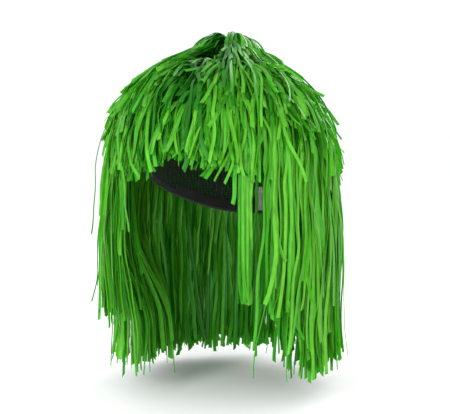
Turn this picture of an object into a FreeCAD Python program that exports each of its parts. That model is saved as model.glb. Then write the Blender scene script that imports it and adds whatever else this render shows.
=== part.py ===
"""Costume wig of foil ribbon: a close cap in three panels, seven rings of short foil fringe over the crown,
a tied tuft on top, and ten locks of longer ribbon that hang from the hem and lift at their header cords.

Frame: origin at the middle of the head hollow, +Z up, the wearer faces -Y, the wearer's left is +X.
The head form is a sphere, narrowed along X. Rings of tape lie on it at a stated polar angle over the
forehead and another over the nape, both measured from straight up. Lengths are in millimetres.
"""

import FreeCAD
import Part

import math
import os

from FreeCAD import Matrix, Vector

# Head form
HEAD_R = 94.0          # half the head's length, and its height above the origin
BREADTH = 0.83         # breadth over length, for the head and everything sewn to it

# Cap
CAP_T = 0.8
SEAM_X = 38.0          # where the crown panel meets the side panels, before narrowing
SEAM_TAPE_W = 8.0
SEAM_TAPE_T = 0.55
SEAM_TAPE_SHORT = 3.4  # degrees by which the seam tapes stop short of the hem
SEAM_GAP = 0.05
LINING_GAP = 0.05      # between layers that are sewn together
HEM_FRONT, HEM_BACK = 60.0, 117.0      # polar angles of the cap's edge
FOLD_T = 0.65                          # of the hem binding
FOLD_INSIDE, FOLD_OUTSIDE, FOLD_LAP = 2.2, 1.4, 0.7    # degrees up the inside, up the outside, below the hem

# Weft tapes, as (angle over the forehead, angle over the nape)
HEADER_RING = (56.0, 113.0)            # the tape that the locks hang from
FIRST_ROW = (47.0, 104.0)              # the lowest ring of crown fringe
LAST_ROW = (8.0, 24.0)                 # the highest one, round the tuft
ROWS = 7
TAPE_T = 0.75
TAPE_HALF = 1.3                        # half the tape's width, in degrees of arc
ROW_GAP = 0.3                          # degrees between one row's ends and the next row's tape

# Crown fringe, as it rises from its tape: (degrees below the tape, share of its full thickness)
ROOT_SLOPE = ((-1.0, 0.13), (2.0, 0.38), (5.0, 0.58))
FULL_ANGLE = 10.0                      # where it reaches its full thickness
LOWEST_SHARE = 0.62                    # how much of that the lowest ring keeps over the locks
LOWEST_TAPER, LOWEST_TIP = 2.2, 1.3    # degrees over which the lowest ring thins, and its end thickness
LOW_THICK, HIGH_THICK = 24.0, 13.0     # full thickness of the lowest ring and of the highest
SHINGLE_LIFT = 0.9                     # between one ring's ends and the root of the ring below

# Crown tuft
TUFT_TILT = 8.0
PATCH_HALF = 13.0

# Locks
HEADER_R = 1.6                         # header cord
HEADER_STANDOFF = 3.0                  # from the tape's outer face to the cord's axis, before narrowing
LOCK_GAP = 1.3                         # between neighbouring locks
FOREHEAD_CLEAR = 98.4                  # locks that lie on the head stay outside this radius
HEAD_ENDS_Z = -30.0                    # and below this height they no longer need to
LEAST_LOCK_T = 9.0                     # a lock is at least this thick below its root
BROW_Z = 9.0
# (azimuth from the front towards the wearer's left, to, lowest point)
LOCKS = {
    "fringe_lock_centre": (-17.0, 17.0, BROW_Z + 7.0),
    "fringe_lock_left": (17.0, 49.0, BROW_Z - 3.0),
    "fringe_lock_right": (-49.0, -17.0, BROW_Z - 3.0),
    "temple_lock_left": (49.0, 85.0, -150.0),
    "temple_lock_right": (-85.0, -49.0, -122.0),
    "side_lock_left": (85.0, 120.0, -172.0),
    "side_lock_right": (-120.0, -85.0, -172.0),
    "rear_lock_left": (120.0, 160.0, -170.0),
    "rear_lock_right": (-160.0, -120.0, -170.0),
    "back_lock_centre": (160.0, 200.0, -166.0),
}
# How a lock swells below its header cord: (drop, inner offset, outer offset), all outward of the cord's axis
FRINGE_SWELL = ((1.0, -1.4, 1.6), (20.0, 0.0, 13.0))
HANGING_SWELL = ((1.0, -1.4, 1.6), (24.0, -1.4, 15.0), (60.0, -2.0, 23.0))
FRINGE_END = (2.0, 17.0)
HANGING_END = (-20.0, 31.0)


def polar(radius, angle):
    """A point in the XZ half plane, at this radius and this many degrees from straight up."""
    return Vector(radius * math.sin(math.radians(angle)), 0, radius * math.cos(math.radians(angle)))


def tilted(shape, tilt):
    """The shape with its +Z axis leant back, towards +Y."""
    return shape.rotate(Vector(0, 0, 0), Vector(1, 0, 0), -tilt)


def narrowed(shape):
    """The shape in the head's real breadth."""
    squash = Matrix()
    squash.scale(BREADTH, 1, 1)
    return shape.transformGeometry(squash)


def edge(start, end):
    """From one (angle, radius) to the next: an arc round the origin where the radius stays the same."""
    (a0, r0), (a1, r1) = start, end
    if r0 == r1:
        return Part.Arc(polar(r0, a0), polar(r0, (a0 + a1) / 2), polar(r1, a1)).toShape()
    return Part.LineSegment(polar(r0, a0), polar(r1, a1)).toShape()


def turned(outline, tilt, start=0.0, sweep=360.0):
    """A closed outline of (angle, radius) points, turned about an axis that leans back by tilt."""
    edges = [edge(a, b) for a, b in zip(outline, outline[1:] + outline[:1])]
    solid = Part.Face(Part.Wire(edges)).revolve(Vector(0, 0, 0), Vector(0, 0, 1), sweep)
    solid.rotate(Vector(0, 0, 0), Vector(0, 0, 1), start)
    tilted(solid, tilt)
    return solid


def band(first, last, inner, outer, tilt, start=0.0, sweep=360.0):
    """A ring of even thickness between two polar angles."""
    return turned([(first, inner), (last, inner), (last, outer), (first, outer)], tilt, start, sweep)


def slab(x_from, x_to):
    """All of space between two X planes, near the head."""
    reach = 2.5 * HEAD_R
    return Part.makeBox(x_to - x_from, 2 * reach, 2 * reach, Vector(x_from, -reach, -reach))


def half_and_tilt(ring):
    """(polar half angle, lean of its axis) of a ring given by its angles over the forehead and the nape."""
    front, back = ring
    return (front + back) / 2, (back - front) / 2


def row_ring(row):
    """The tape of one ring of fringe: row 0 is the header ring, and the others count up to the crown."""
    if row == 0:
        return HEADER_RING
    share = (row - 1) / (ROWS - 1)
    return tuple(low + share * (high - low) for low, high in zip(FIRST_ROW, LAST_ROW))


def cap_parts():
    """The three panels, the tapes that cover their seams, the hem binding, the nape elastic and the label."""
    half, tilt = half_and_tilt((HEM_FRONT, HEM_BACK))
    outer = HEAD_R + CAP_T
    bowl = band(0, half, HEAD_R, outer, tilt)
    side = 1.5 * HEAD_R
    parts = {
        "cap_crown_panel": bowl.common(slab(SEAM_GAP - SEAM_X, SEAM_X - SEAM_GAP)),
        "cap_left_panel": bowl.common(slab(SEAM_X, side)),
        "cap_right_panel": bowl.common(slab(-side, -SEAM_X)),
    }
    lining_r = HEAD_R - LINING_GAP
    lining = band(0, half - SEAM_TAPE_SHORT, lining_r - SEAM_TAPE_T, lining_r, tilt)
    reach = SEAM_TAPE_W / 2
    parts["seam_tape_left"] = lining.common(slab(SEAM_X - reach, SEAM_X + reach))
    parts["seam_tape_right"] = lining.common(slab(-SEAM_X - reach, reach - SEAM_X))

    inside, outside = lining_r - FOLD_T, outer + LINING_GAP + FOLD_T
    turn = half + 0.1                  # the inside of the fold, just clear of the cap's edge
    parts["hem_binding"] = turned(
        [
            (half - FOLD_INSIDE, inside), (half + FOLD_LAP, inside),
            (half + FOLD_LAP, outside), (half - FOLD_OUTSIDE, outside),
            (half - FOLD_OUTSIDE, outer + LINING_GAP), (turn, outer + LINING_GAP),
            (turn, lining_r), (half - FOLD_INSIDE, lining_r),
        ],
        tilt,
    )
    elastic_w, elastic_t, elastic_sweep = 5.6, 1.0, 110.0
    elastic_r = inside - LINING_GAP
    parts["nape_elastic"] = band(
        half - elastic_w, half + 0.2, elastic_r - elastic_t, elastic_r, tilt,
        90 - elastic_sweep / 2, elastic_sweep,
    )
    label_t, label_from, label_to, label_edges = 0.4, 15.0, 0.6, (6.0, 22.0)
    label_r = elastic_r - elastic_t - LINING_GAP
    whole = band(half - label_from, half - label_to, label_r - label_t, label_r, tilt, 60, 60)
    parts["care_label"] = whole.common(slab(*label_edges))
    return {name: narrowed(shape) for name, shape in parts.items()}


def weft_tapes():
    """One tape for each ring of fringe, and the header tape at the hem."""
    inner = HEAD_R + CAP_T + LINING_GAP
    parts = {}
    for row in range(ROWS + 1):
        half, tilt = half_and_tilt(row_ring(row))
        name = f"weft_tape_{row}" if row else "header_tape"
        parts[name] = narrowed(band(half - TAPE_HALF, half + TAPE_HALF, inner, inner + TAPE_T, tilt))
    return parts


def ring_angle(ring, azimuth):
    """The polar angle of a ring of tape at this azimuth from the front towards the wearer's left."""
    half, tilt = (math.radians(angle) for angle in half_and_tilt(ring))
    up, along = math.cos(tilt), math.cos(math.radians(azimuth)) * math.sin(tilt)
    return math.degrees(math.acos(math.cos(half) / math.hypot(up, along)) - math.atan2(along, up))


def on_head(azimuth, angle, radius):
    """A point by azimuth, polar angle and radius, in the head's real breadth."""
    turn, flat = math.radians(azimuth), polar(radius, angle)
    return Vector(BREADTH * flat.x * math.sin(turn), -flat.x * math.cos(turn), flat.z)


def row_thickness(row):
    """How far a ring of fringe stands out where it is fullest."""
    return LOW_THICK + (row - 1) / (ROWS - 1) * (HIGH_THICK - LOW_THICK)


def row_outline(row, azimuth):
    """A ring of fringe cut through at one azimuth, as (angle, height over the tapes)."""
    own, below = (ring_angle(row_ring(r), azimuth) for r in (row, row - 1))
    thick, foot = row_thickness(row), below - TAPE_HALF - ROW_GAP
    root = [(own + angle, share * thick) for angle, share in ROOT_SLOPE]
    if row == 1:  # it tapers in again, so that the locks below it have room to lift
        shoulder = (foot - LOWEST_TAPER, LOWEST_SHARE * thick)
        return [(root[0][0], 0), *root[:-1], shoulder, (foot, LOWEST_TIP), (foot, 0)]
    under = [(below + angle, share * row_thickness(row - 1) + SHINGLE_LIFT) for angle, share in ROOT_SLOPE]
    under[0] = (foot, under[0][1])
    tip = below + ROOT_SLOPE[-1][0]
    return [(root[0][0], 0), *root, (own + FULL_ANGLE, thick), (tip, thick), *under[::-1], (foot, 0)]


def crown_fringe():
    """A ring of fringe from each tape. Its ends lie over the root of the ring below, as shingles do."""
    inner = HEAD_R + CAP_T + TAPE_T + 3 * LINING_GAP
    sections = 24
    parts = {}
    for row in range(1, ROWS + 1):
        wires = []
        for section in range(sections):
            azimuth = 360.0 * section / sections
            outline = row_outline(row, azimuth)
            corners = [on_head(azimuth, angle, inner + rise) for angle, rise in outline]
            lining = on_head(azimuth, (outline[0][0] + outline[-1][0]) / 2, inner)
            edges = [Part.LineSegment(a, b).toShape() for a, b in zip(corners, corners[1:])]
            edges.append(Part.Arc(corners[-1], lining, corners[0]).toShape())
            wires.append(Part.Wire(edges))
        parts[f"fringe_row_{row}"] = Part.makeLoft(wires, True, False, True)
    return parts


def crown_parts():
    """The patch that the tuft is sewn to, the tuft, and the thread that ties its waist."""
    patch_r = HEAD_R + CAP_T + LINING_GAP
    patch = narrowed(band(0, PATCH_HALF, patch_r, patch_r + TAPE_T, TUFT_TILT))
    foot = patch_r + TAPE_T + LINING_GAP
    waist_r, waist_z = 5.0, foot + 6.0
    profile = [
        (0, foot), (7, foot), (waist_r, waist_z - 1.6), (waist_r, waist_z + 1.6),
        (10, foot + 10), (20, foot + 12), (24, foot + 8.5), (26, foot + 4.8), (29, foot + 8),
        (27, foot + 14), (18, foot + 20.5), (8, foot + 24), (0, foot + 24.8),
    ]
    points = [Vector(r, 0, z) for r, z in profile]
    face = Part.Face(Part.makePolygon(points + points[:1]))
    tuft = face.revolve(Vector(0, 0, 0), Vector(0, 0, 1), 360)
    thread_r = 1.2
    tie = Part.makeTorus(waist_r + thread_r + LINING_GAP, thread_r, Vector(0, 0, waist_z))
    return {"crown_patch": patch, "crown_tuft": tilted(tuft, TUFT_TILT), "tuft_tie": tilted(tie, TUFT_TILT)}


def header_point(azimuth, radius):
    """A point over the header ring, at this azimuth from the front towards the wearer's left."""
    return on_head(azimuth, ring_angle(HEADER_RING, azimuth), radius)


def hinge(azimuth):
    """(point on the header cord's axis, its direction): turning about it by the right hand lifts the lock."""
    radius = HEAD_R + CAP_T + LINING_GAP + TAPE_T + HEADER_STANDOFF
    step = 0.5
    point = header_point(azimuth, radius)
    along = header_point(azimuth + step, radius) - header_point(azimuth - step, radius)
    along.normalize()
    outward = Vector(point.x, point.y, 0)
    if along.dot(outward.cross(Vector(0, 0, 1))) < 0:
        along = along * -1
    return point, along


def on_oval(ring, azimuth, z):
    """A point at this azimuth on the oval of that half length, at height z."""
    turn = math.radians(azimuth)
    return Vector(BREADTH * ring * math.sin(turn), -ring * math.cos(turn), z)


def oval_section(first, last, z, inner, outer):
    """A curved strip of a level plane, between two ovals and two azimuths, half the gap in from each side."""
    trim = math.degrees(LOCK_GAP / 2 / inner) / BREADTH
    first, last, middle = first + trim, last - trim, (first + last) / 2
    corners = [on_oval(inner, first, z), on_oval(inner, last, z),
               on_oval(outer, last, z), on_oval(outer, first, z)]
    return Part.Wire([
        Part.Arc(corners[0], on_oval(inner, middle, z), corners[1]).toShape(),
        Part.LineSegment(corners[1], corners[2]).toShape(),
        Part.Arc(corners[2], on_oval(outer, middle, z), corners[3]).toShape(),
        Part.LineSegment(corners[3], corners[0]).toShape(),
    ])


def root_section(first, last, point, along, drop, inner, outer):
    """The thin top of a lock, level with its header cord, drawn the same way round as the others."""
    reach = half_length(first, last)
    if along.dot(header_point(last, HEAD_R) - header_point(first, HEAD_R)) < 0:
        along = along * -1
    outward = Vector(point.x, point.y, 0).normalize()
    low = Vector(0, 0, -drop)
    corners = [
        point + low + outward * offset + along * side * reach
        for offset, side in ((inner, -1), (inner, 1), (outer, 1), (outer, -1))
    ]
    return Part.makePolygon(corners + corners[:1])


def half_length(first, last):
    """Half the length of a lock's header cord, which stops short of its neighbours' cords."""
    radius = HEAD_R + CAP_T + TAPE_T
    chord = (header_point(last, radius) - header_point(first, radius)).Length
    return chord / 2 - LOCK_GAP


def lock_parts(name, first, last, lowest):
    """One lock of ribbons and the header cord that they are folded over."""
    point, along = hinge((first + last) / 2)
    reach = half_length(first, last)
    header = Part.makeCylinder(HEADER_R, 2 * reach, point - along * reach, along)
    is_fringe = name.startswith("fringe")
    swell, end = (FRINGE_SWELL, FRINGE_END) if is_fringe else (HANGING_SWELL, HANGING_END)
    (drop, inner, outer), lower = swell[0], swell[1:]
    wires = [root_section(first, last, point, along, drop, inner, outer)]
    ring = math.hypot(point.x / BREADTH, point.y)
    sections = [(point.z - drop, inner, outer) for drop, inner, outer in lower] + [(lowest, *end)]
    for z, inner, outer in sections:
        head = math.sqrt(FOREHEAD_CLEAR**2 - z * z) if z > HEAD_ENDS_Z else 0.0
        inside = max(ring + inner, head)
        wires.append(oval_section(first, last, z, inside, max(ring + outer, inside + LEAST_LOCK_T)))
    ribbons = Part.makeLoft(wires, True, True).cut(header)
    return {name + "_header": header, name: ribbons}


def all_parts():
    parts = {**cap_parts(), **weft_tapes(), **crown_fringe(), **crown_parts()}
    for name, (first, last, lowest) in LOCKS.items():
        parts.update(lock_parts(name, first, last, lowest))
    return parts


def main():
    os.makedirs("parts", exist_ok=True)
    for name, shape in all_parts().items():
        if not shape.isValid():
            print("not valid:", name)
        shape.exportStep(f"parts/{name}.step")


main()
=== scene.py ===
"""Looks of the foil costume wig: every ribbon of the crown, the tuft and the locks as its own cut strip of
film, and the cap, tapes, binding and elastic as cloth. Lengths are in millimetres until a mesh is made, in
metres.

Ribbons are laid in a round space, where the head is a sphere. Its X is narrowed to the head's breadth at
the end.
"""
import math

import bpy
import numpy as np
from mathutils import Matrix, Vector


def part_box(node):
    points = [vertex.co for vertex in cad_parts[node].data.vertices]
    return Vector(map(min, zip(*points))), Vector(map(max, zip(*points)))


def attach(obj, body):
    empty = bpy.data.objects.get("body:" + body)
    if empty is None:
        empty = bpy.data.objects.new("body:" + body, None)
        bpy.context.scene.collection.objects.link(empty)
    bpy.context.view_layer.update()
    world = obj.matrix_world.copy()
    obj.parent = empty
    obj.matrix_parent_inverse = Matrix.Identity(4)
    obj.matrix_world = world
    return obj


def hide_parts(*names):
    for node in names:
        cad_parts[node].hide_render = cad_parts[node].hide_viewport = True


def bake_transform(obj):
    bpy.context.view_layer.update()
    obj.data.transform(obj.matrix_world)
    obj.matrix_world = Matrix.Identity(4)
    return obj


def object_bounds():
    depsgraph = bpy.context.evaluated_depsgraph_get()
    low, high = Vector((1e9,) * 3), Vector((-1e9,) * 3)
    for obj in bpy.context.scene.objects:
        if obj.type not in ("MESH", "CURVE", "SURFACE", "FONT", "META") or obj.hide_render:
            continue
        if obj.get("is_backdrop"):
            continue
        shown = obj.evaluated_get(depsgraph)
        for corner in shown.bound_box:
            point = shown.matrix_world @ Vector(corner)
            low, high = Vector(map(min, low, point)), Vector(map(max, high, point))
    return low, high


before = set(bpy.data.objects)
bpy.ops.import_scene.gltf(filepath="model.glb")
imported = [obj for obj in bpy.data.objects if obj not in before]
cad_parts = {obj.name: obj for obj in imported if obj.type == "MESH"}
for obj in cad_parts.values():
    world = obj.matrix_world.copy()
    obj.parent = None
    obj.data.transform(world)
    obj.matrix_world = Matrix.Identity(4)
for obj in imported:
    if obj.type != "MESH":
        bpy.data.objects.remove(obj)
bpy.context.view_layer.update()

MM = 0.001
rng = np.random.default_rng(626)

# The head form, from the cap
CAP_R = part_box("cap_crown_panel")[1].z / MM
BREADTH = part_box("cap_left_panel")[1].x / MM / CAP_R

# Rings of tape: polar angle over the forehead and over the nape
HEADER_RING = (56.0, 113.0)
FIRST_ROW, LAST_ROW = (47.0, 104.0), (8.0, 24.0)
SHORT_LENGTH = (38, 80)
# What is sewn to each ring, from the lowest: (ribbons, share of them that are long, lengths of the others)
RINGS = (
    (460, 0.65, (16, 28)),
    (520, 0.6, (24, 42)),
    (500, 0.45, SHORT_LENGTH),
    (500, 0.32, SHORT_LENGTH),
    (450, 0.2, SHORT_LENGTH),
    (370, 0.1, SHORT_LENGTH),
    (260, 0.1, SHORT_LENGTH),
)
ROWS = len(RINGS)
LOW_ROWS = 2                           # the lowest rings: over the cheek, and below the parting's painted shade
HEADER_RIBBONS, TUFT_RIBBONS = 560, 340
UNDER_TAPE = 1.2                       # from the cap's face to the foot of the ribbons
RING_ROOT, HEADER_ROOT = UNDER_TAPE + 0.6, UNDER_TAPE + 3.4     # where their middle lines start over the cap
LOW_THICK, HIGH_THICK = 23.0, 7.0      # how far the ribbons stand off the cap, in the lowest ring and highest

# The tuft
TUFT_TILT = 8.0                        # degrees from plumb, towards the nape
TUFT_WAIST, TUFT_FOOT = 4.0, 7.0       # its radius where it is tied, and how high over the cap that is
TUFT_RISE = (7.0, 17.0)                # how far its ribbons rise from there
TUFT_REACH = (17.0, 38.0)              # how far from its axis they come down
TUFT_LANDING, TUFT_DEPTH = 9.0, 5.0    # height of the lowest over the cap there, and of the highest over it
TUFT_LONG_SHARE, TUFT_LONG, TUFT_SHORT = 0.6, (45, 130), (8, 45)     # share and lengths past there
ARCH_POINTS = 14

# The parting below the tuft
PARTING, PARTING_HALF = -5.0, 21.0     # its azimuth, and its half width in degrees at the tuft
PARTING_EDGE, PARTING_SHADE = 3.0, 12.0     # degrees past it where ribbons lie deep, and where their tints are darkened as painted shade
PARTING_ORDER = 0.4                    # how much of their wander the ribbons beside it keep

# Sewing, in the cap's round space
HEM_RING = (60.0, 117.0)
HEM_ROWS = (0.5, 1.6)                  # degrees from the hem to each row of its stitches
BINDING_INSIDE = 93.25                 # radius just inside the hem binding
SEAM_X, SEAM_INSIDE = 38.0, 93.35      # of the seam tapes
SEAM_EDGE = 2.8                        # from the middle of a seam tape to its rows of stitches
SEAM_SPAN = (-54.0, 111.0)             # how far each seam tape runs, from the forehead to the nape
WAIST_HEIGHT = CAP_R + 6.9             # of the tuft
HEM_THREAD, SEAM_THREAD, TIE_THREAD = 0.28, 0.24, 0.42     # radii

# Locks, by azimuth from the front towards the wearer's left
LOCKS = {
    "fringe_lock_centre": (-17.0, 17.0),
    "fringe_lock_left": (17.0, 49.0),
    "fringe_lock_right": (-49.0, -17.0),
    "temple_lock_left": (49.0, 85.0),
    "temple_lock_right": (-85.0, -49.0),
    "side_lock_left": (85.0, 120.0),
    "side_lock_right": (-120.0, -85.0),
    "rear_lock_left": (120.0, 160.0),
    "rear_lock_right": (-160.0, -120.0),
    "back_lock_centre": (160.0, 200.0),
}
# Where the ribbons end: (azimuth, mean height)
ENDS = (
    (-180, -166), (-130, -168), (-104, -164), (-95, -124), (-50, -115),
    (-49, 2), (-35, 5), (-20, 15), (-5, 26), (8, 20), (19, 15), (32, 7), (47, 2),
    (48, -97), (54, -104), (59, -122), (65, -142), (72, -156), (80, -162), (100, -160), (130, -164),
    (180, -166),
)
CHEEK_STRIPS, CHEEK_END = (32.5, 37.5), -97.0     # azimuths of the few long ribbons over the cheek, their end
CHEEK_ENDS = (-1.0, 4.0)               # how far from it each of them ends
DRAWN_IN, DRAWN_FROM, DRAWN_TO = 8.0, -45.0, -135.0     # how far in the locks' ends lie; between heights
TUCKED = (-110.0, -58.0)               # azimuths where the inner ribbons lie further in, towards the neck
TUCKED_IN, TUCKED_END = (6.0, 38.0), -160.0             # how far in, from and to, and where they end
CLUMP = 7.0                            # degrees from one clump of ribbon ends to the next
JUST_ABOVE = 5.0                       # degrees over the header ring, from where a ribbon can join a lock
LEAST_IN_LOCK = 22.0                   # length past there with which it does

# A ribbon, and how it lies
RIBBON_W = 3.9
RIBBON_T = 0.22
CUP = 0.09                             # how hollow it is across, to its width
STEP = 3.5                             # of the walk down the head
LONG_LENGTH = 330.0                    # enough to reach the end of any lock
PAST_FACE = -50.0                      # a ribbon that ends below this hangs in a long lock
END_SPREAD = 4.0                       # of the ends about their mean height
RISE_LENGTH = 30.0                     # along a ribbon, from where it is sewn to its full height over the cap
CLIMB, CLIMB_LIMITS = 9.0, (-0.5, 0.8)      # the lack of height that slopes it up by 1; its limits
SWELL_LENGTH = 26.0                    # along a hanging ribbon, to lose most of its first spring outwards
TURN_RATE = 0.4                        # share of a change of heading that it makes in one step
CREASE = 15.0                          # from one crease to the next
FLICK_LENGTH = 28.0                    # of the end that flicks aside
MOST_OUT = 3.5                         # that creases lift it off the others
BROW, BROW_LEVEL, BROW_LIFT = 50.0, 0.85, 0.5     # the brow's azimuth; how low and flat they lie on it
BROW_REACH, BROW_HOLD = 115.0, 0.8     # how far forward they stand freely, and the share taken back past that
FACE_EDGE, TEMPLE = 48.0, 24.0         # azimuth of the face's edge, and degrees past it to the loose ribbons
LEAST_LEVEL = 0.38                     # share of the full height at which the deepest ribbons lie

# Ribbons sewn to the rings. A wander and a wave are slopes, to the side
RING_FLARE = (0.6, 1.3)                # degrees from plumb: mean and spread
RING_SWELL = 5.0                       # degrees
ENDS_HIGHER, HIGHER_BY = 0.5, 85.0     # share of the locks' ribbons that end higher, and by up to how much
FLY_SHARE, FLY_FLICK, FLY_LIFT = 0.22, 8.0, (3.0, 8.0)     # of the ribbons that fly free of the others
FLICK, LONG_LIFT, SHORT_LIFT = 3.0, (-0.6, 2.0), (-0.6, 5.0)     # of the rest
CHEEK_WANDER, CHEEK_WAVE = 0.004, 0.012
LOCK_WANDER, LOCK_WAVE = (0.015, 0.065), 0.095     # beside the face, and how much more behind the temple
CROWN_LONG_WANDER, CROWN_WANDER, CROWN_WAVE = 0.16, 0.24, 0.24

# Ribbons of the tuft
TUFT_WANDER, TUFT_PARTING_WANDER, TUFT_WAVE, TUFT_FLICK = 0.14, 0.05, 0.15, 4.0
TUFT_FLARE, TUFT_SWELL, TUFT_LEVEL = 1.0, 5.0, (0.8, 1.1)

# Ribbons folded over the header cords
HEADER_LEVEL = (0.25, 0.4)             # share of the full height of the innermost, and how much more outside
HEADER_FLARE = (-6.5, 11.0)            # degrees, in the same way
HEADER_SWELL = (8.0, 34.0)             # degrees, in the same way
BANGS_FLARE, BANGS_SWELL = 2.0, 10.0
BANGS_WANDER, BANGS_WAVE, BANGS_LOWEST = 0.1, 0.18, -10.0
HEADER_WANDER, HEADER_WAVE = (0.01, 0.045), 0.06
HEADER_ENDS_HIGHER, HEADER_HIGHER_BY = 0.3, 50.0
HEADER_FLICK, HEADER_FLY_FLICK, HEADER_FLY_SHARE = 2.0, 7.0, 0.15


# ---------------------------------------------------------------- rings and directions


def ring_angle(ring, azimuth):
    """The polar angle, in degrees, of a ring of tape at this azimuth."""
    front, back = ring
    half, tilt = math.radians((front + back) / 2), math.radians((back - front) / 2)
    up, along = math.cos(tilt), np.cos(np.radians(azimuth)) * math.sin(tilt)
    return np.degrees(np.arccos(math.cos(half) / np.hypot(up, along)) - np.arctan2(along, up))


def row_ring(row):
    if row == 0:
        return HEADER_RING
    share = (row - 1) / (ROWS - 1)
    return tuple(low + share * (high - low) for low, high in zip(FIRST_ROW, LAST_ROW))


def azimuth_of(points):
    return np.degrees(np.arctan2(points[..., 0], -points[..., 1]))


def polar_of(points):
    return np.degrees(np.arctan2(np.hypot(points[..., 0], points[..., 1]), points[..., 2]))


def unit(vectors):
    return vectors / np.maximum(np.linalg.norm(vectors, axis=-1, keepdims=True), 1e-9)


def outward(points):
    """Level and away from the axis of the head."""
    flat = points.copy()
    flat[..., 2] = 0
    return unit(flat)


def smooth(x):
    x = np.clip(x, 0, 1)
    return x * x * (3 - 2 * x)


def full_height(points):
    """How far the mass of ribbons stands off the cap here."""
    azimuth = azimuth_of(points)
    low, high = ring_angle(FIRST_ROW, azimuth), ring_angle(LAST_ROW, azimuth)
    share = np.clip((low - polar_of(points)) / (low - high), 0, 1.1)
    return LOW_THICK + share * (HIGH_THICK - LOW_THICK)


# ---------------------------------------------------------------- ribbons as paths

POLE = np.array([0.0, math.sin(math.radians(TUFT_TILT)), math.cos(math.radians(TUFT_TILT))])


def walk(start, length, root, level, flare, swell, hangs=None):
    """Lays ribbons down the head side by side, one step at a time, until each hangs straight down.

    start: where each ribbon begins. root: its height over the cap there. level: the share of the full height
    that it rises to. flare: how far from plumb it hangs, in degrees. swell: how much further out it first
    springs where it hangs, in degrees. hangs: the ribbons that hang from the start. Returns points and
    outward directions, each of shape (steps, ribbons, 3).
    """
    steps = int(length.max() / STEP) + 2
    points, normals = [start.copy()], []
    here = start.copy()
    hanging = np.zeros(len(start), bool) if hangs is None else hangs.copy()
    since = np.zeros(len(start))
    heading = None
    for step in range(steps):
        radius = np.linalg.norm(here, axis=1)
        normal = here / radius[:, None]
        down = unit((normal @ POLE)[:, None] * normal - POLE)
        target = root + (full_height(here) * level - root) * smooth(step * STEP / RISE_LENGTH)
        climb = np.clip((target - (radius - CAP_R)) / CLIMB, *CLIMB_LIMITS)
        on_head = unit(down + climb[:, None] * normal)
        level_out = outward(here)
        lean = np.radians(flare + swell * np.exp(-since / SWELL_LENGTH))
        plumb = np.sin(lean)[:, None] * level_out - np.cos(lean)[:, None] * np.array([0.0, 0.0, 1.0])
        if heading is None:
            heading = np.where(hanging[:, None], plumb, on_head)
        slipping = (down * level_out).sum(1) < np.tan(np.radians(np.maximum(flare, 1.0)))
        hanging |= slipping & (step > 1)
        wanted = np.where(hanging[:, None], plumb, on_head)
        heading = unit(heading + TURN_RATE * (wanted - heading))
        since += STEP * hanging
        here = here + STEP * heading
        points.append(here.copy())
        normals.append(np.where(hanging[:, None], level_out, normal))
    normals.append(normals[-1])
    return np.array(points), np.array(normals)


def settle(normals):
    """The outward directions of one ribbon, eased along it."""
    eased = normals.copy()
    for _ in range(4):
        eased[1:-1] = (eased[:-2] + eased[1:-1] + eased[2:]) / 3
    return unit(eased)


def kinked(count, slope):
    """A line of this many steps that changes direction at creases, as an offset at each step."""
    creases = rng.normal(0, slope, int(count * STEP / CREASE) + 2)
    slopes = np.interp(np.arange(count) * STEP / CREASE + rng.random(), np.arange(len(creases)), creases)
    return np.concatenate([[0], np.cumsum(slopes[1:] * STEP)])


def sway(points, normals, wander, wave, flick):
    """Moves a ribbon about: a steady wander, a wave between creases, and a flick at its end."""
    along = np.arange(len(points)) * STEP
    tangent = unit(np.gradient(points, axis=0))
    side = unit(np.cross(tangent, normals))
    from_end = np.clip((along - (along[-1] - FLICK_LENGTH)) / FLICK_LENGTH, 0, 1)
    sideways = wander * along + kinked(len(points), wave) + flick * from_end**2
    outwards = np.minimum(0.5 * np.abs(kinked(len(points), wave)), MOST_OUT)
    return points + sideways[:, None] * side + outwards[:, None] * normals


def drawn_in(points, pull):
    """A ribbon with its hanging end drawn in this far towards the neck."""
    drawn = pull * smooth((DRAWN_FROM - points[:, 2]) / (DRAWN_FROM - DRAWN_TO))
    return points - drawn[:, None] * outward(points)


def tuck(azimuth, layer, lowest):
    """How far each ribbon's end is drawn in, and its lowest point: one temple's inner ones are tucked in."""
    tucked = (TUCKED[0] < azimuth) & (azimuth < TUCKED[1]) & (layer < 0.5)
    pull = np.where(tucked, rng.uniform(*TUCKED_IN, len(azimuth)), DRAWN_IN)
    return pull, np.where(tucked, TUCKED_END + rng.normal(0, 5.0, len(azimuth)), lowest)


def to_clump(azimuth, length):
    """The steady sideways slope that brings a ribbon's end in to its clump."""
    centre = CLUMP * np.round(azimuth / CLUMP + 0.3 * np.sin(azimuth * 0.9))
    return 0.7 * np.radians(azimuth - centre) * CAP_R / np.maximum(length, 25.0)


def tint_and_shade_of(layer):
    """A ribbon's place among the tints of film, with painted shade in it: the ones that lie deep are mostly
    given the darker tints, as shade.
    """
    return float(np.clip(0.15 + 0.7 * layer + rng.normal(0, 0.18), 0, 1))


def ends_at(azimuth):
    azimuths, heights = zip(*ENDS)
    return np.interp((azimuth + 180) % 360 - 180, azimuths, heights)


def ragged_ends(azimuth, share, most):
    """Where ribbons end. This share of the ones in long locks ends higher, by up to this much."""
    lowest = ends_at(azimuth) + rng.normal(0, END_SPREAD, len(azimuth))
    higher = np.where(rng.random(len(azimuth)) < share, rng.uniform(0, most, len(azimuth)), 0)
    return lowest + higher * (lowest < PAST_FACE)


def between(values, share):
    """The least of the values at a share of 0, and as much more as they say at 1."""
    least, more = values
    return least + more * share


def loosened(wander, from_front):
    """The wander of a hanging ribbon: little beside the face, and more behind the temple."""
    return between(wander, smooth((from_front - FACE_EDGE) / TEMPLE))


def lifted(points, normals, lift):
    """A ribbon that curls away from the head over its outer half, by this much at its end."""
    along = np.linspace(0, 1, len(points))
    return points + (lift * np.clip(along * 2 - 1, 0, 1) ** 2)[:, None] * normals


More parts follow.
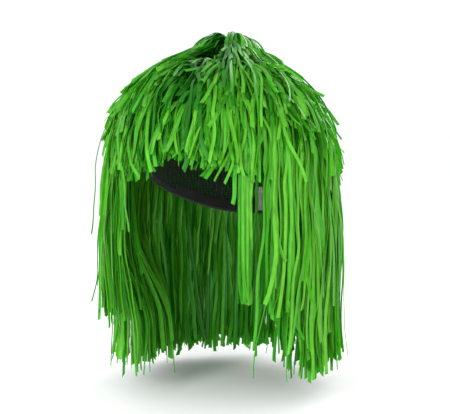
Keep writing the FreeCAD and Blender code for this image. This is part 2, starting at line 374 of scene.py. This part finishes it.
class Ribbon:
    """A strip of film: its middle line, its outward directions, its roll and twist, and its end's slant."""

    def __init__(self, points, normals, width, roll, twist, tone, spacing):
        self.points, self.normals = points, normals
        self.width, self.tone, self.spacing = width, tone, spacing
        self.roll, self.twist = roll, twist
        self.slant = rng.normal(0, 0.5)


def crossing_azimuth(points):
    """The azimuth at which a ribbon passes the header ring, or None if it ends above it or just below."""
    azimuth = azimuth_of(points)
    below = polar_of(points) > ring_angle(HEADER_RING, azimuth) - JUST_ABOVE
    return azimuth[np.argmax(below)] if below.sum() * STEP > LEAST_IN_LOCK else None


def lock_of(azimuth):
    """The lock at this azimuth. The locks take up the whole circle."""
    for name, (first, last) in LOCKS.items():
        if first <= azimuth < last or first <= azimuth + 360 < last:
            return name


def trimmed(points, normals, length, lowest):
    """The ribbon as far as its length, or as far down as its lowest point."""
    last = min(len(points) - 1, int(length / STEP))
    under = np.nonzero(points[:, 2] < lowest)[0]
    if len(under):
        last = min(last, under[0])
    last = max(last, 3)
    return points[: last + 1], normals[: last + 1]


def parting_half(row):
    """The parting's half width in degrees at a ring of tape. It closes towards the forehead."""
    return PARTING_HALF * (row - 1) / (ROWS - 1)


def parted(azimuth, half):
    """Azimuths drawn aside from the parting, so that its ribbons crowd together along both edges."""
    away = np.abs(azimuth - PARTING)
    return PARTING + np.sign(azimuth - PARTING) * np.maximum(away, half + away / 2)


def out_of_parting(azimuth, half, edge):
    """0 for a ribbon that lies at the parting's edge, rising to 1 for one that lies clear of it."""
    return 1 - smooth((half + edge - np.abs(azimuth - PARTING)) / 6.0)


def ring_starts(row, count, root):
    """Evenly shuffled places round a ring of tape."""
    azimuth = -180 + 360 * (np.arange(count) + rng.uniform(-0.45, 0.45, count)) / count
    azimuth = parted(azimuth, parting_half(row))
    polar, turn = np.radians(ring_angle(row_ring(row), azimuth)), np.radians(azimuth)
    radius = CAP_R + root
    level = radius * np.sin(polar)
    return azimuth, np.stack([level * np.sin(turn), -level * np.cos(turn), radius * np.cos(polar)], 1)


def fringe_ribbons(row, count, long_share, short_length):
    """The ribbons of one tape: some short, some long enough to join the locks."""
    root = np.full(count, RING_ROOT)
    azimuth, start = ring_starts(row, count, root)
    on_brow = np.abs(azimuth) < BROW
    is_long = rng.random(count) < long_share
    length = np.where(is_long, LONG_LENGTH, rng.uniform(*short_length, count))
    layer = rng.random(count)
    layer *= out_of_parting(azimuth, parting_half(row), PARTING_EDGE)
    # Ribbons near the parting's edges get darker tints: painted shade in the cleft.
    shade = out_of_parting(azimuth, parting_half(row), PARTING_SHADE if row > LOW_ROWS else 0.0)
    level = (LEAST_LEVEL + (1 - LEAST_LEVEL) * layer) * np.where(on_brow, BROW_LEVEL, 1.0)
    flare = rng.normal(*RING_FLARE, count)
    points, normals = walk(start, length, root, level, flare, np.full(count, RING_SWELL))
    pull, lowest = tuck(azimuth, layer, ragged_ends(azimuth, ENDS_HIGHER, HIGHER_BY))
    over_cheek = np.zeros(count, bool)
    if row <= LOW_ROWS:
        over_cheek = (CHEEK_STRIPS[0] < azimuth) & (azimuth < CHEEK_STRIPS[1]) & is_long
        lowest = np.where(over_cheek, CHEEK_END + rng.uniform(*CHEEK_ENDS, count), lowest)
    made = []
    for i in range(count):
        line, facing = trimmed(points[:, i], normals[:, i], length[i], lowest[i])
        facing = settle(facing)
        flies = rng.random() < FLY_SHARE and not over_cheek[i]
        if over_cheek[i]:
            wander, wave = CHEEK_WANDER, CHEEK_WAVE
        elif is_long[i] and lowest[i] < PAST_FACE:
            wander, wave = loosened(LOCK_WANDER, abs(azimuth[i])), LOCK_WAVE
        else:
            wander, wave = CROWN_LONG_WANDER if is_long[i] else CROWN_WANDER, CROWN_WAVE
        if abs(azimuth[i] - PARTING) < 2 * parting_half(row):
            wander *= PARTING_ORDER
        steady = rng.normal(0, wander)
        if not over_cheek[i]:
            steady += to_clump(azimuth[i], len(line) * STEP)
        flick = rng.normal(0, FLY_FLICK if flies else FLICK)
        line = drawn_in(sway(line, facing, steady, wave, flick), pull[i])
        lift = rng.uniform(*(FLY_LIFT if flies else LONG_LIFT if is_long[i] else SHORT_LIFT))
        line = lifted(line, facing, lift * (BROW_LIFT if on_brow[i] else 1.0))
        made.append(Ribbon(
            line, facing,
            width=RIBBON_W * rng.uniform(0.55, 0.98),
            roll=rng.normal(0, 24 if is_long[i] else 38),
            twist=rng.normal(0, 35),
            # Deep ribbons get darker tints and those at the parting darker still, as painted shade. Tucked-in
            # ones get bright tints, as painted light.
            tone=tint_and_shade_of(max(layer[i], 0.8 * (pull[i] > DRAWN_IN))) * shade[i],
            spacing=5.0,
        ))
    return made


def tuft_arches(azimuth):
    """The tuft's ribbons from its waist up and over to the crown: points and outward directions."""
    count, turn = len(azimuth), np.radians(azimuth)
    nape = unit(np.cross(POLE, [1.0, 0.0, 0.0]))             # towards the nape, square to the tuft's axis
    away = np.sin(turn)[:, None] * np.array([1.0, 0, 0]) - np.cos(turn)[:, None] * nape
    waist = TUFT_WAIST * np.sqrt(rng.random(count))
    rise = rng.uniform(*TUFT_RISE, count)
    reach = rng.uniform(*TUFT_REACH, count)
    foot = CAP_R + TUFT_FOOT
    top = foot + rise * 1.3                                  # of the curve's corners, which it doesn't reach
    landing = np.sqrt((CAP_R + TUFT_LANDING + rng.uniform(0, TUFT_DEPTH, count)) ** 2 - reach**2)
    corners = [(waist, foot), (waist + 1, top), (0.75 * reach, top), (reach, landing)]
    share = np.linspace(0, 1, ARCH_POINTS)[:, None]
    weights = [(1 - share) ** 3, 3 * share * (1 - share) ** 2, 3 * share**2 * (1 - share), share**3]
    out = sum(weight * corner[0] for weight, corner in zip(weights, corners))
    up = sum(weight * corner[1] for weight, corner in zip(weights, corners))
    arches = out[..., None] * away + up[..., None] * POLE
    slope = unit(np.stack([np.gradient(out, axis=0), np.gradient(up, axis=0)], -1))
    return arches, -slope[..., 1:] * away + slope[..., :1] * POLE


def tuft_ribbons(count):
    """Ribbons that rise from the tied waist, arch over like a fountain and lie down on the crown."""
    azimuth = parted(rng.uniform(-180, 180, count), PARTING_HALF)
    arches, facing = tuft_arches(azimuth)
    is_long = rng.random(count) < TUFT_LONG_SHARE
    length = np.where(is_long, rng.uniform(*TUFT_LONG, count), rng.uniform(*TUFT_SHORT, count))
    start = arches[-1]
    root = np.linalg.norm(start, axis=1) - CAP_R
    level = rng.uniform(*TUFT_LEVEL, count)
    # Ribbons near the parting's edges get darker tints: painted shade in the cleft.
    shade = out_of_parting(azimuth, PARTING_HALF, PARTING_SHADE)
    flare, swell = np.full(count, TUFT_FLARE), np.full(count, TUFT_SWELL)
    points, normals = walk(start, length, root, level, flare, swell)
    made = []
    for i in range(count):
        line, outer = trimmed(points[1:, i], normals[1:, i], length[i], ends_at(azimuth[i]))
        line = np.concatenate([arches[:, i], line])
        outer = settle(np.concatenate([facing[:, i], outer]))
        beside_parting = abs(azimuth[i] - PARTING) < 2 * PARTING_HALF
        wander = rng.normal(0, TUFT_PARTING_WANDER if beside_parting else TUFT_WANDER)
        line = sway(line, outer, wander, TUFT_WAVE, rng.normal(0, TUFT_FLICK))
        made.append(Ribbon(
            line, outer,
            width=RIBBON_W * rng.uniform(0.5, 0.9),
            roll=rng.normal(0, 22),
            twist=rng.normal(0, 40),
            tone=tint_and_shade_of(rng.uniform(0.4, 1.0)) * shade[i],
            spacing=4.0,
        ))
    return made


def header_ribbons(count):
    """The ribbons folded over the header cords: they hang straight from the hem."""
    root = np.full(count, HEADER_ROOT)
    azimuth, start = ring_starts(0, count, root)
    layer = rng.random(count)
    in_front = np.abs(azimuth) < LOCKS["fringe_lock_left"][1]
    flare = np.where(in_front, BANGS_FLARE, between(HEADER_FLARE, layer))
    swell = np.where(in_front, BANGS_SWELL, between(HEADER_SWELL, layer))
    length = np.full(count, LONG_LENGTH)
    points, normals = walk(start, length, root, between(HEADER_LEVEL, layer), flare, swell, hangs=~in_front)
    pull, lowest = tuck(azimuth, layer, ragged_ends(azimuth, HEADER_ENDS_HIGHER, HEADER_HIGHER_BY))
    lowest = np.where(in_front, np.maximum(lowest, BANGS_LOWEST), lowest)
    made = []
    for i in range(count):
        line, facing = trimmed(points[:, i], normals[:, i], length[i], lowest[i])
        facing = settle(facing)
        wander = BANGS_WANDER if in_front[i] else loosened(HEADER_WANDER, abs(azimuth[i]))
        wave = BANGS_WAVE if in_front[i] else HEADER_WAVE
        steady = rng.normal(0, wander) + to_clump(azimuth[i], len(line) * STEP)
        flies = rng.random() < HEADER_FLY_SHARE
        flick = rng.normal(0, HEADER_FLY_FLICK if flies else HEADER_FLICK)
        line = drawn_in(sway(line, facing, steady, wave, flick), pull[i])
        made.append(Ribbon(
            line, facing,
            width=RIBBON_W * rng.uniform(0.75, 1.15),
            roll=rng.normal(0, 20),
            twist=rng.normal(0, 30),
            # Inner ribbons get darker tints as painted shade. Tucked-in ones get bright tints, as painted
            # light.
            tone=tint_and_shade_of(max(layer[i], 0.8 * (pull[i] > DRAWN_IN))),
            spacing=7.0,
        ))
    return made


# ---------------------------------------------------------------- ribbons as meshes


def resampled(values, distance, places):
    return np.stack([np.interp(places, distance, values[:, axis]) for axis in range(3)], 1)


def ribbon_mesh(ribbon):
    """Rings of six corners along one ribbon, in metres, with (across, along, tint with painted shade and
    light) for each corner.
    """
    line = ribbon.points * np.array([BREADTH, 1, 1])
    line[:, 1] += BROW_HOLD * np.clip(-line[:, 1] - BROW_REACH, 0, None)
    steps = np.linalg.norm(np.diff(line, axis=0), axis=1)
    distance = np.concatenate([[0], np.cumsum(steps)])
    rings = max(4, int(distance[-1] / ribbon.spacing) + 1)
    places = np.linspace(0, distance[-1], rings)
    line = resampled(line, distance, places)
    facing = resampled(ribbon.normals, distance, places) * np.array([1 / BREADTH, 1, 1])
    tangent = unit(np.gradient(line, axis=0))
    side = unit(np.cross(tangent, facing))
    normal = np.cross(side, tangent)
    share = np.linspace(0, 1, rings)
    roll = np.radians(ribbon.roll * smooth(share * 3) + ribbon.twist * share)[:, None]
    side, normal = side * np.cos(roll) + normal * np.sin(roll), normal * np.cos(roll) - side * np.sin(roll)
    half, thick, cup = ribbon.width / 2, RIBBON_T / 2, CUP * ribbon.width
    corners = ((-1, 1, 0), (0, 1, cup), (1, 1, 0), (1, -1, 0), (0, -1, cup), (-1, -1, 0))
    end_slant = np.zeros((rings, 1))
    end_slant[-1] = np.clip(ribbon.slant, -0.9, 0.9)
    rows = [
        line + across * half * (side + end_slant * tangent) + (face * thick + rise) * normal
        for across, face, rise in corners
    ]
    vertices = np.stack(rows, 1).reshape(-1, 3) * MM
    across = np.tile([corner[0] for corner in corners], rings)
    along = np.repeat(places, 6) * MM
    return vertices, np.stack([across, along, np.full(rings * 6, ribbon.tone)], 1), rings


def add_piece(name, mesh):
    piece = bpy.data.objects.new(name, mesh)
    bpy.context.scene.collection.objects.link(piece)
    return piece


def strips_piece(name, ribbons):
    """One mesh of many ribbons, each a closed strip."""
    vertices, marks, faces, start = [], [], [], 0
    for ribbon in ribbons:
        points, mark, rings = ribbon_mesh(ribbon)
        base = start + 6 * np.arange(rings - 1)[:, None]
        corner = np.arange(6)[None, :]
        after = (corner + 1) % 6
        quads = np.stack([base + corner, base + after, base + 6 + after, base + 6 + corner], 2).reshape(-1, 4)
        faces += quads.tolist()
        last = start + 6 * (rings - 1)
        for ring, turned in ((start, False), (last, True)):
            for cap in ((0, 5, 4, 1), (1, 4, 3, 2)):
                faces.append([ring + c for c in (reversed(cap) if turned else cap)])
        vertices.append(points)
        marks.append(mark)
        start += 6 * rings
    mesh = bpy.data.meshes.new(name)
    mesh.from_pydata(np.concatenate(vertices).tolist(), [], faces)
    mesh.shade_smooth()
    mesh.set_sharp_from_angle(angle=math.radians(50))
    attribute = mesh.attributes.new("strip", "FLOAT_VECTOR", "POINT")
    attribute.data.foreach_set("vector", np.concatenate(marks).astype(np.float32).ravel())
    return add_piece(name, mesh)


# ---------------------------------------------------------------- threads


def tube(line, radius, sides=6):
    """A round thread along a line of points in metres, closed at both ends: (vertices, faces)."""
    tangent = unit(np.gradient(line, axis=0))
    side = unit(np.cross(tangent, [0.31, 0.22, 0.93]))
    other = np.cross(tangent, side)
    turn = 2 * math.pi * np.arange(sides) / sides
    ring = np.cos(turn)[None, :, None] * side[:, None] + np.sin(turn)[None, :, None] * other[:, None]
    vertices = (line[:, None] + radius * ring).reshape(-1, 3)
    faces = []
    for start in range(0, sides * (len(line) - 1), sides):
        for corner in range(sides):
            after = (corner + 1) % sides
            faces.append([start + corner, start + after, start + sides + after, start + sides + corner])
    faces.append(list(range(sides))[::-1])
    faces.append(list(range(len(vertices) - sides, len(vertices))))
    return vertices, faces


def thread_piece(name, lines, radius, finish):
    """Several threads as one piece that rides on the cap."""
    vertices, faces = [], []
    for line in lines:
        points, around = tube(line * MM, radius * MM)
        faces += [[len(vertices) + corner for corner in face] for face in around]
        vertices += points.tolist()
    mesh = bpy.data.meshes.new(name)
    mesh.from_pydata(vertices, [], faces)
    mesh.shade_smooth()
    mesh.materials.append(finish)
    piece = add_piece(name, mesh)
    return piece


def stitches(line, length=3.0, pitch=4.6, sink=0.12):
    """Running stitches along a line of points on the inside of the cap, each dipping in at its ends."""
    steps = np.linalg.norm(np.diff(line, axis=0), axis=1)
    distance = np.concatenate([[0], np.cumsum(steps)])
    dip = np.array([1.0, 0.0, -0.4, 0.0, 1.0])
    made = []
    for start in np.arange(pitch / 2, distance[-1] - length, pitch):
        points = resampled(line, distance, np.linspace(start, start + length, len(dip)))
        made.append(points + sink * dip[:, None] * unit(points))
    return made


def hem_stitches():
    """Two rows of stitches round the inside of the hem binding."""
    azimuth = np.linspace(-180, 180, 361)
    lines = []
    for above_hem in HEM_ROWS:
        polar = np.radians(ring_angle(HEM_RING, azimuth) - above_hem)
        turn = np.radians(azimuth)
        around = np.stack([np.sin(polar) * np.sin(turn), -np.sin(polar) * np.cos(turn), np.cos(polar)], 1)
        lines += stitches(BINDING_INSIDE * around * np.array([BREADTH, 1, 1]))
    return lines


def seam_stitches():
    """A row of stitches down each edge of both seam tapes."""
    along = np.radians(np.linspace(*SEAM_SPAN, 200))
    lines = []
    for x in (SEAM_X - SEAM_EDGE, SEAM_X + SEAM_EDGE, SEAM_EDGE - SEAM_X, -SEAM_EDGE - SEAM_X):
        reach = math.sqrt(SEAM_INSIDE**2 - x * x)
        arc = np.stack([np.full(len(along), x), reach * np.sin(along), reach * np.cos(along)], 1)
        lines += stitches(arc * np.array([BREADTH, 1, 1]))
    return lines


def wound_tie():
    """The thread wound round the waist of the tuft, in turns that lie side by side."""
    turns, radius, spread = 5, 6.3, 1.5
    turn = np.linspace(0, 2 * math.pi * turns, 40 * turns)
    across = np.array([1.0, 0.0, 0.0])
    forward = np.cross(POLE, across)
    height = WAIST_HEIGHT + np.linspace(-spread, spread, len(turn)) + 0.12 * np.sin(3.3 * turn)
    wobble = radius + 0.15 * np.sin(1.7 * turn)
    around = np.cos(turn)[:, None] * across + np.sin(turn)[:, None] * forward
    return [wobble[:, None] * around + height[:, None] * POLE]


def make_threads():
    finish = woven("sewing_thread", (0.03, 0.05, 0.03), (0.09, 0.14, 0.09), 2600.0, roughness=0.6)
    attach(thread_piece("hem_stitches", hem_stitches(), HEM_THREAD, finish), "root")
    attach(thread_piece("seam_stitches", seam_stitches(), SEAM_THREAD, finish), "root")
    tie = thread_piece("tuft_tie_thread", wound_tie(), TIE_THREAD, finish)
    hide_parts("tuft_tie")
    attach(tie, "root")


# ---------------------------------------------------------------- materials


class Shader:
    """A node material, put together a node at a time."""

    def __init__(self, name, roughness, metallic=0.0, specular=0.5, sheen=0.0):
        self.material = bpy.data.materials.new(name)
        self.material.use_nodes = True
        self.tree = self.material.node_tree
        self.shader = self.tree.nodes["Principled BSDF"]
        self.shader.inputs["Roughness"].default_value = roughness
        self.shader.inputs["Metallic"].default_value = metallic
        self.shader.inputs["Specular IOR Level"].default_value = specular
        self.shader.inputs["Sheen Weight"].default_value = sheen
        self.shader.inputs["Subsurface Scale"].default_value = 0.003

    def node(self, kind, links=(), **settings):
        made = self.tree.nodes.new(kind)
        for key, value in settings.items():
            if key in made.inputs:
                made.inputs[key].default_value = value
            else:
                setattr(made, key, value)
        for socket, source in dict(links).items():
            self.tree.links.new(source, made.inputs[socket])
        return made

    def colours(self, factor, *stops):
        ramp = self.node("ShaderNodeValToRGB", {"Fac": factor})
        elements = ramp.color_ramp.elements
        while len(elements) < len(stops):
            elements.new(0.5)
        for element, (place, colour) in zip(elements, stops):
            element.position, element.color = place, (*colour, 1)
        return ramp.outputs["Color"]

    def multiplied(self, colour, by, share):
        """One colour darkened by another. The colour sockets of a mix are 6, 7 and, for the result, 2."""
        mix = self.node("ShaderNodeMix", {6: colour, 7: by}, data_type="RGBA", blend_type="MULTIPLY")
        mix.inputs[0].default_value = share
        return mix.outputs[2]

    def bump(self, height, strength, distance):
        made = self.node("ShaderNodeBump", {"Height": height}, Strength=strength, Distance=distance)
        self.tree.links.new(made.outputs["Normal"], self.shader.inputs["Normal"])

    def paint(self, socket, source):
        self.tree.links.new(source, self.shader.inputs[socket])


def foil():
    """Green film: satin, tinted strip by strip, with cross creases.

    Each strip's corners carry (place across it, metres along it, its place among the tints). That place holds
    painted shade and light too: ribbons that lie deep or at the parting get darker tints, and tucked-in ones
    brighter tints.
    """
    made = Shader("green_foil_ribbon", roughness=0.4, metallic=0.15, specular=0.16)
    made.shader.inputs["Subsurface Weight"].default_value = 0.3
    made.shader.inputs["Subsurface Radius"].default_value = (0.3, 1.0, 0.1)
    strip = made.node("ShaderNodeAttribute", attribute_name="strip", attribute_type="GEOMETRY")
    parts = made.node("ShaderNodeSeparateXYZ", {"Vector": strip.outputs["Vector"]})
    tone = parts.outputs["Z"]
    # The dark end of these tints is painted shade for deep ribbons and for those at the parting. The bright
    # end is painted light on the tucked-in ones.
    tint = made.colours(
        tone,
        (0.0, (0.010, 0.14, 0.003)),
        (0.35, (0.030, 0.26, 0.007)),
        (0.7, (0.055, 0.32, 0.012)),
        (1.0, (0.09, 0.38, 0.018)),
    )
    place = made.node("ShaderNodeCombineXYZ", {"X": parts.outputs["X"], "Y": parts.outputs["Y"]})
    spread = made.node("ShaderNodeVectorMath", {0: place.outputs["Vector"]}, operation="MULTIPLY")
    spread.inputs[1].default_value = (0.35, 120.0, 1.0)
    offset = made.node("ShaderNodeMath", {0: tone}, operation="MULTIPLY")
    offset.inputs[1].default_value = 371.0          # so that strips of unlike tone lie far apart in the noise
    own = made.node("ShaderNodeCombineXYZ", {"Z": offset.outputs["Value"]})
    where = made.node(
        "ShaderNodeVectorMath", {0: spread.outputs["Vector"], 1: own.outputs["Vector"]}, operation="ADD"
    )
    crease = made.node("ShaderNodeTexNoise", {"Vector": where.outputs["Vector"]}, Scale=1.0, Detail=3.0)
    mottle = made.colours(crease.outputs["Fac"], (0.3, (0.62, 0.62, 0.6)), (0.7, (1.0, 1.0, 1.0)))
    made.paint("Base Color", made.multiplied(tint, mottle, 0.7))
    rough = made.node("ShaderNodeMapRange", {"Value": crease.outputs["Fac"]})
    rough.inputs["To Min"].default_value, rough.inputs["To Max"].default_value = 0.32, 0.5
    made.paint("Roughness", rough.outputs["Result"])
    made.bump(crease.outputs["Fac"], 0.35, 0.0008)
    return made.material


def woven(name, dark, light, scale, roughness=0.85):
    """Tape or elastic: a fine rib across a mottled cloth."""
    made = Shader(name, roughness=roughness, specular=0.2, sheen=0.3)
    place = made.node("ShaderNodeTexCoord").outputs["Object"]
    weave = made.node(
        "ShaderNodeTexWave", {"Vector": place}, Scale=scale, Distortion=0.6, bands_direction="DIAGONAL"
    )
    cloud = made.node("ShaderNodeTexNoise", {"Vector": place}, Scale=90.0, Detail=4.0)
    mixed = made.node(
        "ShaderNodeMath", {0: weave.outputs["Fac"], 1: cloud.outputs["Fac"]}, operation="MULTIPLY"
    )
    made.paint("Base Color", made.colours(mixed.outputs["Value"], (0.1, dark), (0.6, light)))
    made.bump(weave.outputs["Fac"], 0.6, 0.0004)
    return made.material


def net():
    """The cap's knitted net: small cells between dark yarns."""
    made = Shader("cap_net", roughness=0.9, specular=0.15, sheen=0.3)
    place = made.node("ShaderNodeTexCoord").outputs["Object"]
    cells = made.node("ShaderNodeTexVoronoi", {"Vector": place}, Scale=420.0, feature="DISTANCE_TO_EDGE")
    cells.inputs["Randomness"].default_value = 0.35
    yarn, gap = (0.02, 0.07, 0.02), (0.004, 0.012, 0.004)
    made.paint("Base Color", made.colours(cells.outputs["Distance"], (0.02, yarn), (0.16, gap)))
    made.bump(cells.outputs["Distance"], 0.8, -0.0006)
    return made.material


# ---------------------------------------------------------------- pieces


def finish_nodes():
    """Cloth for the CAD nodes that stay."""
    tape = woven("weft_tape_cloth", (0.01, 0.05, 0.01), (0.03, 0.14, 0.03), 700.0)
    binding = woven("binding_cloth", (0.004, 0.008, 0.004), (0.02, 0.035, 0.02), 800.0)
    elastic = woven("elastic_cloth", (0.004, 0.006, 0.004), (0.025, 0.03, 0.025), 450.0)
    label = woven("label_cloth", (0.5, 0.5, 0.47), (0.8, 0.8, 0.77), 1500.0)
    cap = net()
    for name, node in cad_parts.items():
        finish = tape
        if name.startswith("cap_"):
            finish = cap
        elif name.startswith("seam_tape") or name == "hem_binding":
            finish = binding
        elif name == "nape_elastic":
            finish = elastic
        elif name == "care_label":
            finish = label
        node.data.materials.clear()
        node.data.materials.append(finish)


def blend_lock(piece):
    """Bakes the lock piece's place into its mesh. The piece is attached to no body here."""
    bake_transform(piece)


def make_ribbons():
    film = foil()
    pieces = {f"fringe_row_{row}": [] for row in range(1, ROWS + 1)}
    pieces["crown_tuft"] = tuft_ribbons(TUFT_RIBBONS)
    pieces.update({name: [] for name in LOCKS})
    laid = {"header": header_ribbons(HEADER_RIBBONS)}
    for row, (count, long_share, short_length) in enumerate(RINGS, 1):
        laid[f"fringe_row_{row}"] = fringe_ribbons(row, count, long_share, short_length)
    for ring, ribbons in laid.items():
        for ribbon in ribbons:
            crossing = crossing_azimuth(ribbon.points)
            pieces[ring if crossing is None else lock_of(crossing)].append(ribbon)
    for name, ribbons in pieces.items():
        piece = strips_piece(f"{name}_ribbons", ribbons)
        piece.data.materials.append(film)
        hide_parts(name)
        if name in LOCKS:
            blend_lock(piece)
        else:
            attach(piece, "root")


# ---------------------------------------------------------------- stage

FLOOR_HALF, FLOOR_GAP = 12.0, 0.004    # in metres: half its side, and how far it lies below the lowest ribbon


def add_area(name, place, target, size, power):
    light = bpy.data.lights.new(name, "AREA")
    light.shape, light.size, light.energy = "DISK", size, power
    lamp = bpy.data.objects.new(name, light)
    lamp.location = place
    lamp.rotation_euler = (Vector(target) - Vector(place)).to_track_quat("-Z", "Y").to_euler()
    bpy.context.scene.collection.objects.link(lamp)


def make_floor():
    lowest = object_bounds()[0].z
    half = FLOOR_HALF
    corners = [(-half, -half, 0), (half, -half, 0), (half, half, 0), (-half, half, 0)]
    mesh = bpy.data.meshes.new("floor")
    mesh.from_pydata(corners, [], [(0, 1, 2, 3)])
    floor = add_piece("floor", mesh)
    floor.location.z = lowest - FLOOR_GAP
    made = Shader("floor_paint", roughness=0.9, specular=0.1)
    made.shader.inputs["Base Color"].default_value = (0.96, 0.96, 0.955, 1)
    mesh.materials.append(made.material)
    floor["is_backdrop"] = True


def make_stage():
    make_floor()
    world = bpy.data.worlds.new("studio")
    world.use_nodes = True
    world.node_tree.nodes["Background"].inputs["Color"].default_value = (0.93, 0.94, 0.95, 1)
    world.node_tree.nodes["Background"].inputs["Strength"].default_value = 1.13
    scene = bpy.context.scene
    scene.world = world
    scene.view_settings.view_transform = "Standard"
    middle = (0, 0, -0.02)
    add_area("key", (-0.35, -1.3, 0.45), middle, 0.4, 10)
    add_area("fill", (1.1, -0.9, 0.2), middle, 0.9, 6)
    add_area("low", (0.2, -1.3, -0.1), middle, 0.5, 6)
    add_area("back", (0.3, 1.2, 0.6), middle, 0.9, 8)


def make_camera(azimuth=18.0, elevation=5.0, distance=0.93):
    """Looks at the wig from its front, turned towards the wearer's left, from this far off in metres."""
    lo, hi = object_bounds()
    centre = (lo + hi) / 2
    data = bpy.data.cameras.new("camera")
    data.lens = 85
    camera = bpy.data.objects.new("camera", data)
    turn, rise = math.radians(azimuth), math.radians(elevation)
    back = Vector((math.sin(turn) * math.cos(rise), -math.cos(turn) * math.cos(rise), math.sin(rise)))
    camera.location = centre + back * distance
    camera.rotation_euler = (-back).to_track_quat("-Z", "Y").to_euler()
    bpy.context.scene.collection.objects.link(camera)
    bpy.context.scene.camera = camera


finish_nodes()
make_threads()
make_ribbons()
make_stage()
make_camera()
